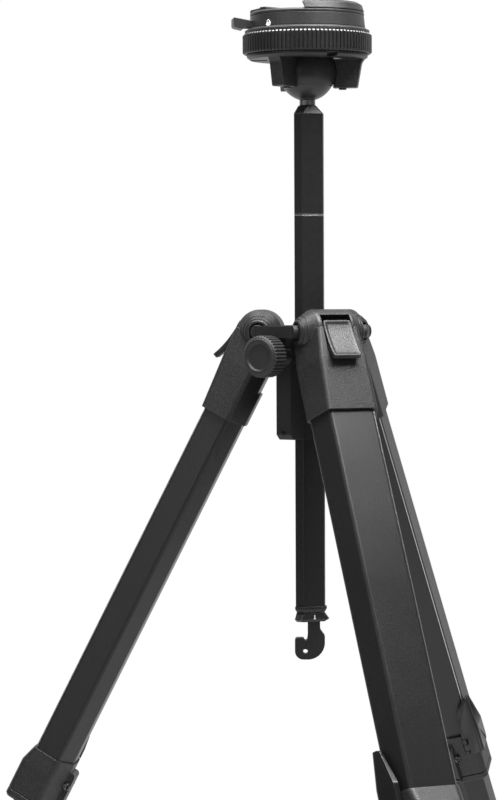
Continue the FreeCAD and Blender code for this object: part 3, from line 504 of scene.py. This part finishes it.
# ------------------------------------------------------------------ clamps
# Aluminium collars in the hoods' coat, split down the inside and drawn together by a cross screw
# through two ears. The screw's ends are button heads with a sunk socket, in dark plated steel
# that is smooth and a little uneven in its gloss.
SCREW_OUT = -0.01555  # outwards from the leg's line
SCREW_ALONG = -0.2626  # along the leg from its hinge
SCREW_SEATS = ((1, 0.0068), (-1, -0.0093))  # the way that each head faces, and where it sits
SCREW_RADIUS = 0.0019
SCREW_HEIGHT = 0.0010
RIM_SHARE = 0.42  # of a head's radius, round its socket
WALL_SHARE = 0.12  # of its radius, as the socket's slope
SOCKET_SHARE = 0.6  # of its height
ROUND_SHARE = 0.3  # of its height
dress([name for name in cad if "_clamp_" in name], coated)
steel = finish(
    "dark_plated_steel",
    colours=("5a5a5c", "66666a"),
    roughness=(0.25, 0.35),
    grain=0.001,
    depth=0.00001,
    edge="77777a",
    round_off=0.0002,
    metallic=1.0,
)


def button_head(name, radius, height, seat, facing):
    """The head of a button-head screw, with a sunk socket, on its seat and facing outwards."""
    bpy.ops.object.select_all(action="DESELECT")
    bpy.ops.mesh.primitive_cylinder_add(
        vertices=36,
        radius=radius,
        depth=height,
        location=(0, 0, height / 2),
    )
    head = named(name)
    pick(head, lambda f: f.normal.z > ALONG, "polygons")
    bpy.ops.mesh.inset(thickness=radius * RIM_SHARE)
    bpy.ops.mesh.inset(thickness=radius * WALL_SHARE, depth=-height * SOCKET_SHARE)
    done()
    bevel = head.modifiers.new("edges", "BEVEL")
    bevel.width = height * ROUND_SHARE
    bevel.segments = 3
    bevel.limit_method = "ANGLE"
    apply_all(head)
    bpy.ops.object.shade_smooth_by_angle(angle=SHARP)
    turn = Vector(facing).to_track_quat("Z", "Y").to_matrix().to_4x4()
    head.matrix_world = Matrix.Translation(seat) @ turn
    apply_all(head)
    return head


for side, azimuth in LEGS.items():
    for hand, across in SCREW_SEATS:
        head = button_head(
            f"{side}_clamp_screw_{hand + 1}",
            SCREW_RADIUS,
            SCREW_HEIGHT,
            seat=(SCREW_OUT, across, SCREW_ALONG),
            facing=(0, hand, 0),
        )
        on_leg(head, azimuth)
        dress([head], steel)
        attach(head, f"{side}_leg")

# ------------------------------------------------------------------ clamp levers
# Cam levers that close the clamps, moulded in glass-filled nylon with generous radii on every
# edge. Fingers have polished them, so they shine more than the other nylon pieces.
LEVER_ROUND = 0.0011
LEVER_EDGE = math.radians(35)  # edges that turn more than this are rounded
LEVER_SHARP = math.radians(45)
MERGE = 0.00001
FLAT = math.radians(1)
gloss_nylon = finish(
    "polished_glass_filled_nylon",
    colours=("101011", "191919"),
    roughness=(0.27, 0.35),
    grain=0.0008,
    depth=0.00003,
    edge="343435",
    round_off=0.0004,
)
for side in LEGS:
    for number in (1, 2, 3):
        node = f"{side}_lever_{number}"
        lever = copy_of(cad[node], f"{side}_clamp_lever_{number}")
        pick(lever, lambda v: True)
        bpy.ops.mesh.remove_doubles(threshold=MERGE)
        bpy.ops.mesh.dissolve_limited(angle_limit=FLAT)
        done()
        bevel = lever.modifiers.new("edges", "BEVEL")
        bevel.width = LEVER_ROUND
        bevel.segments = 4
        bevel.limit_method = "ANGLE"
        bevel.angle_limit = LEVER_EDGE
        apply_all(lever)
        bpy.ops.object.shade_smooth_by_angle(angle=LEVER_SHARP)
        dress([lever, node], gloss_nylon)
        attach(lever, node)
        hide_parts(node)

# ------------------------------------------------------------------ feet and pad
# Feet moulded in black rubber over the ends of the lowest tubes, and the thin pad of the same
# rubber glued into the platform. Rubber is matt; its edges are painted only a little lighter, as
# a faint painted glint.
rubber = finish(
    "moulded_rubber",
    colours=("161616", "1c1c1c"),
    roughness=(0.67, 0.77),
    grain=0.0012,
    depth=0.00004,
    edge="222222",
    round_off=0.0006,
)
dress([name for name in cad if name.endswith("_foot")] + ["plate_pad"], rubber)

# ------------------------------------------------------------------ hub and hinge bolts
# Three-armed aluminium casting that carries the legs' hinge pins and guides the column, with a
# thinner and duller coat than the hoods', painted darker as painted shade, so that its lit arms
# read as the shade between the hoods. Steel bolts close the ends of the pins.
BOLT_ALONG = 0.0198  # along the pin from its middle
BOLT_RADIUS = 0.0022
BOLT_HEIGHT = 0.0010
shaded_dull_coat = finish(
    "dull_casting_coat_with_painted_shade",
    colours=("0e0e0f", "1c1c1d"),
    roughness=(0.55, 0.65),
    grain=0.0008,
    depth=0.00010,
    edge="262627",
    round_off=0.0005,
)
dress(["hub"], shaded_dull_coat)
dress(["hinge_pins", "hub_screws", "lock_shaft"], steel)
for side, azimuth in LEGS.items():
    for hand in (-1, 1):
        bolt = button_head(
            f"{side}_hinge_bolt_{hand + 1}",
            BOLT_RADIUS,
            BOLT_HEIGHT,
            seat=(0, hand * BOLT_ALONG, 0),
            facing=(0, hand, 0),
        )
        bolt.matrix_world = at_hinge(azimuth)
        apply_all(bolt)
        dress([bolt], steel)
        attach(bolt, "hub")

# ------------------------------------------------------------------ lock knob
# Fluted knob moulded in glass-filled nylon round the end of the steel screw that clamps the
# column. The glass keeps the moulded skin satin, not glossy.
nylon = finish(
    "glass_filled_nylon",
    colours=("1d1d1e", "272728"),
    roughness=(0.44, 0.52),
    grain=0.0008,
    depth=0.00005,
    edge="343435",
    round_off=0.0005,
)
dress(["lock_knob"], nylon)

# ------------------------------------------------------------------ column
# Six-sided drawn aluminium tube, anodised satin black, in two lengths screwed together. Its
# rounded edges are painted pale as a painted glint. A thin ring of bright bare metal at the joint
# stands in for the highlight on the joint's chamfers, a painted highlight that shows as a pale
# line.
JOINT_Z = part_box("column_lower")[1].z
JOINT_HEIGHT = 0.0006
JOINT_INSET = 0.0001  # inside the tube's faces
column_low, column_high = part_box("column_upper")
FACE_AZIMUTHS = range(30, 390, 60)
FACE_REACHES = (-column_low.y - JOINT_INSET, column_high.y - JOINT_INSET) * 3
JOINT_BLANK = 1  # radius of the disc that is cut back to the column's six faces
satin = finish(
    "satin_black_anodised_column",
    colours=("161617", "1d1d1e"),
    roughness=(0.31, 0.37),
    grain=0.0012,
    depth=0.00002,
    edge="b8b8ba",
    round_off=0.0004,
    bright=True,
)
dress(["column_lower", "column_upper"], satin)
bare = finish(
    "bare_aluminium_for_painted_highlights",
    colours=("8c8c8e", "a0a0a2"),
    roughness=(0.31, 0.39),
    grain=0.0010,
    depth=0.00001,
    edge="b4b4b6",
    round_off=0.0002,
    metallic=1.0,
)
bpy.ops.object.select_all(action="DESELECT")
bpy.ops.mesh.primitive_cylinder_add(
    vertices=6,
    radius=JOINT_BLANK,
    depth=JOINT_HEIGHT,
    location=(0, 0, JOINT_Z),
)
joint_highlight_ring = named("column_joint_highlight_ring")
for azimuth, reach in zip(FACE_AZIMUTHS, FACE_REACHES):
    away = Vector((math.cos(math.radians(azimuth)), math.sin(math.radians(azimuth)), 0))
    pick(joint_highlight_ring, lambda v: True)
    bpy.ops.mesh.bisect(
        plane_co=away * reach + Vector((0, 0, JOINT_Z)),
        plane_no=away,
        use_fill=True,
        clear_outer=True,
    )
    done()
pick(joint_highlight_ring, lambda v: True)
bpy.ops.mesh.normals_make_consistent(inside=False)
done()
dress([joint_highlight_ring], bare)
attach(joint_highlight_ring, "column")

# ------------------------------------------------------------------ bag hook
# Hook for the strap of a bag, moulded in the knob's nylon, on a coated aluminium base that turns
# in the column's foot. A small arrow in flat white ink marks the base.
INK_DEPTH = 0.0001
ARROW_AZIMUTH = 262.0
ARROW_RADIUS = 0.0101  # from the column's axis
ARROW_RISE = 0.0027
ARROW_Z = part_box("hook_base")[0].z + ARROW_RISE
ARROW_TIP = 0.0009
ARROW_TIP_Z = -0.0005
ARROW_SHAFT = (0.0005, INK_DEPTH, 0.0014)
ARROW_SHAFT_Z = 0.0006
dress(["hook_base", "hook_collar"], coated)
dress(["hook"], nylon)
ink = finish(
    "white_pad_printed_ink",
    colours=("ececec", "f4f4f4"),
    roughness=(0.48, 0.52),
    grain=0.0006,
    depth=0.00001,
    edge="f4f4f4",
    round_off=0.0001,
)


def printed(parts, name, azimuth, radius, height, body):
    """Joins flat marks drawn round the origin in the XZ plane and lays them on a round face."""
    bpy.ops.object.select_all(action="DESELECT")
    for part in parts:
        part.select_set(True)
    bpy.context.view_layer.objects.active = parts[0]
    bpy.ops.object.join()
    mark = parts[0]
    mark.name = name
    out = Matrix.Translation((0, -radius, height))
    mark.matrix_world = Matrix.Rotation(math.radians(azimuth + 90), 4, "Z") @ out
    apply_all(mark)
    dress([mark], ink)
    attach(mark, body)


bpy.ops.object.select_all(action="DESELECT")
bpy.ops.mesh.primitive_cone_add(
    vertices=3,
    radius1=ARROW_TIP,
    depth=INK_DEPTH,
    location=(0, 0, ARROW_TIP_Z),
    rotation=(math.pi / 2, 0, 0),
)
tip = named("arrow_tip")
bpy.ops.object.select_all(action="DESELECT")
bpy.ops.mesh.primitive_cube_add(size=1, location=(0, 0, ARROW_SHAFT_Z), scale=ARROW_SHAFT)
shaft = named("arrow_shaft")
printed(
    [tip, shaft],
    "hook_arrow_mark",
    ARROW_AZIMUTH,
    ARROW_RADIUS,
    ARROW_Z,
    body="bag_hook",
)

# ------------------------------------------------------------------ ball and neck
# Ball turned in one piece with its neck, hard anodised grey-black and smooth, in a seat and a
# liner of the same finish. A collar of bright bare metal stands on the neck, just over the
# column's end, as a painted highlight for the neck's bright lines.
COLLAR_RADIUS = 0.0046
COLLAR_HEIGHT = 0.0032
COLLAR_TRIM = 0.0004  # taken off the collar all round
COLLAR_Z = column_high.z + COLLAR_HEIGHT / 2
hard_anodised = finish(
    "hard_anodised_ball",
    colours=("202021", "262627"),
    roughness=(0.30, 0.36),
    grain=0.0015,
    depth=0.00001,
    edge="3a3a3b",
    round_off=0.0002,
)
dress(["ball_stem", "seat_ring", "ball_cup"], hard_anodised)
bpy.ops.object.select_all(action="DESELECT")
bpy.ops.mesh.primitive_cylinder_add(
    vertices=24,
    radius=COLLAR_RADIUS,
    depth=COLLAR_HEIGHT,
    location=(0, 0, COLLAR_Z),
)
collar = named("neck_highlight_collar")
pick(collar, lambda v: True)
bpy.ops.mesh.inset(thickness=0, depth=-COLLAR_TRIM)
done()
dress([collar], bare)
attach(collar, "column")

# ------------------------------------------------------------------ head castings
# The three-lugged base that holds the ball's seat, the platform that turns on it and the clasp
# that slides in the platform are aluminium castings in the hoods' coat.
dress(["head_base", "platform", "release_clasp"], coated)

# ------------------------------------------------------------------ tension ring
# Ring that squeezes the seat on the ball, turned and knurled in aluminium and anodised black. The
# crest of each tooth on its top bevel is painted light grey, a painted highlight where the bevel
# faces up to the light.
KNURLS = 96
CREST_DEPTH = 0.0005
CREST_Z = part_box("tension_ring")[1].z - CREST_DEPTH
CREST_LEVEL = 0.2  # of a tooth's wave, above which its crest gets the painted highlight
CREST_HIGHLIGHT = "a4a4a4"
knurled = finish(
    "anodised_knurl_with_painted_crest_highlights",
    colours=("101011", "1a1a1b"),
    roughness=(0.39, 0.45),
    grain=0.0010,
    depth=0.00002,
    edge="3c3c3d",
    round_off=0.0002,
)
tree = knurled.node_tree
shader = tree.nodes["Principled BSDF"]
dye_with_edge_glint = shader.inputs["Base Color"].links[0].from_socket
place = add_node(tree, "ShaderNodeTexCoord").outputs["Object"]
axes = add_node(tree, "ShaderNodeSeparateXYZ", {0: place}).outputs
above = add_node(
    tree,
    "ShaderNodeMath",
    {0: axes["Z"], 1: CREST_Z},
    operation="GREATER_THAN",
)
angle = add_node(tree, "ShaderNodeMath", {0: axes["Y"], 1: axes["X"]}, operation="ARCTAN2")
phase = add_node(tree, "ShaderNodeMath", {0: angle.outputs[0], 1: KNURLS}, operation="MULTIPLY")
tooth = add_node(tree, "ShaderNodeMath", {0: phase.outputs[0]}, operation="COSINE")
crest = add_node(
    tree,
    "ShaderNodeMath",
    {0: tooth.outputs[0], 1: CREST_LEVEL},
    operation="GREATER_THAN",
)
crest_highlight = add_node(
    tree,
    "ShaderNodeMath",
    {0: above.outputs[0], 1: crest.outputs[0]},
    operation="MULTIPLY",
)
crest_highlighted = add_node(
    tree,
    "ShaderNodeMix",
    {0: crest_highlight.outputs[0], 6: dye_with_edge_glint, 7: linear(CREST_HIGHLIGHT)},
    data_type="RGBA",
)
tree.links.new(crest_highlighted.outputs[2], shader.inputs["Base Color"])
dress(["tension_ring"], knurled)

# ------------------------------------------------------------------ lock ring
# Aluminium ring that locks the platform, and the bezel under it, anodised after blasting, so
# their sparkle is finer and duller than the castings'. A padlock is printed beside the ring's tab.
lock_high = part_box("lock_ring")[1]
PADLOCK_AZIMUTH = 204.5
PADLOCK_RADIUS = lock_high.x
PADLOCK_DROP = 0.0049
PADLOCK_Z = lock_high.z - PADLOCK_DROP
PADLOCK_CASE = (0.0025, INK_DEPTH, 0.0020)
CASE_Z = -0.0006
CASE_ROUND = 0.0003
SHACKLE_RADIUS = 0.0008
SHACKLE_WIRE = 0.0002
SHACKLE_Z = 0.0005
blasted = finish(
    "blasted_anodised_ring",
    colours=("19191a", "2c2c2d"),
    roughness=(0.37, 0.47),
    grain=0.0006,
    depth=0.00008,
    edge="5a5a5c",
    round_off=0.0004,
)
dress(["bezel_ring", "lock_ring"], blasted)
bpy.ops.object.select_all(action="DESELECT")
bpy.ops.mesh.primitive_cube_add(size=1, location=(0, 0, CASE_Z), scale=PADLOCK_CASE)
case = named("padlock_case")
pick(case, lambda v: True)
bpy.ops.mesh.bevel(offset=CASE_ROUND, segments=2)
done()
bpy.ops.object.select_all(action="DESELECT")
bpy.ops.mesh.primitive_torus_add(
    location=(0, 0, SHACKLE_Z),
    rotation=(math.pi / 2, 0, 0),
    major_radius=SHACKLE_RADIUS,
    minor_radius=SHACKLE_WIRE,
)
shackle = named("padlock_shackle")
printed(
    [case, shackle],
    "padlock_mark",
    PADLOCK_AZIMUTH,
    PADLOCK_RADIUS,
    PADLOCK_Z,
    body="lock_ring",
)
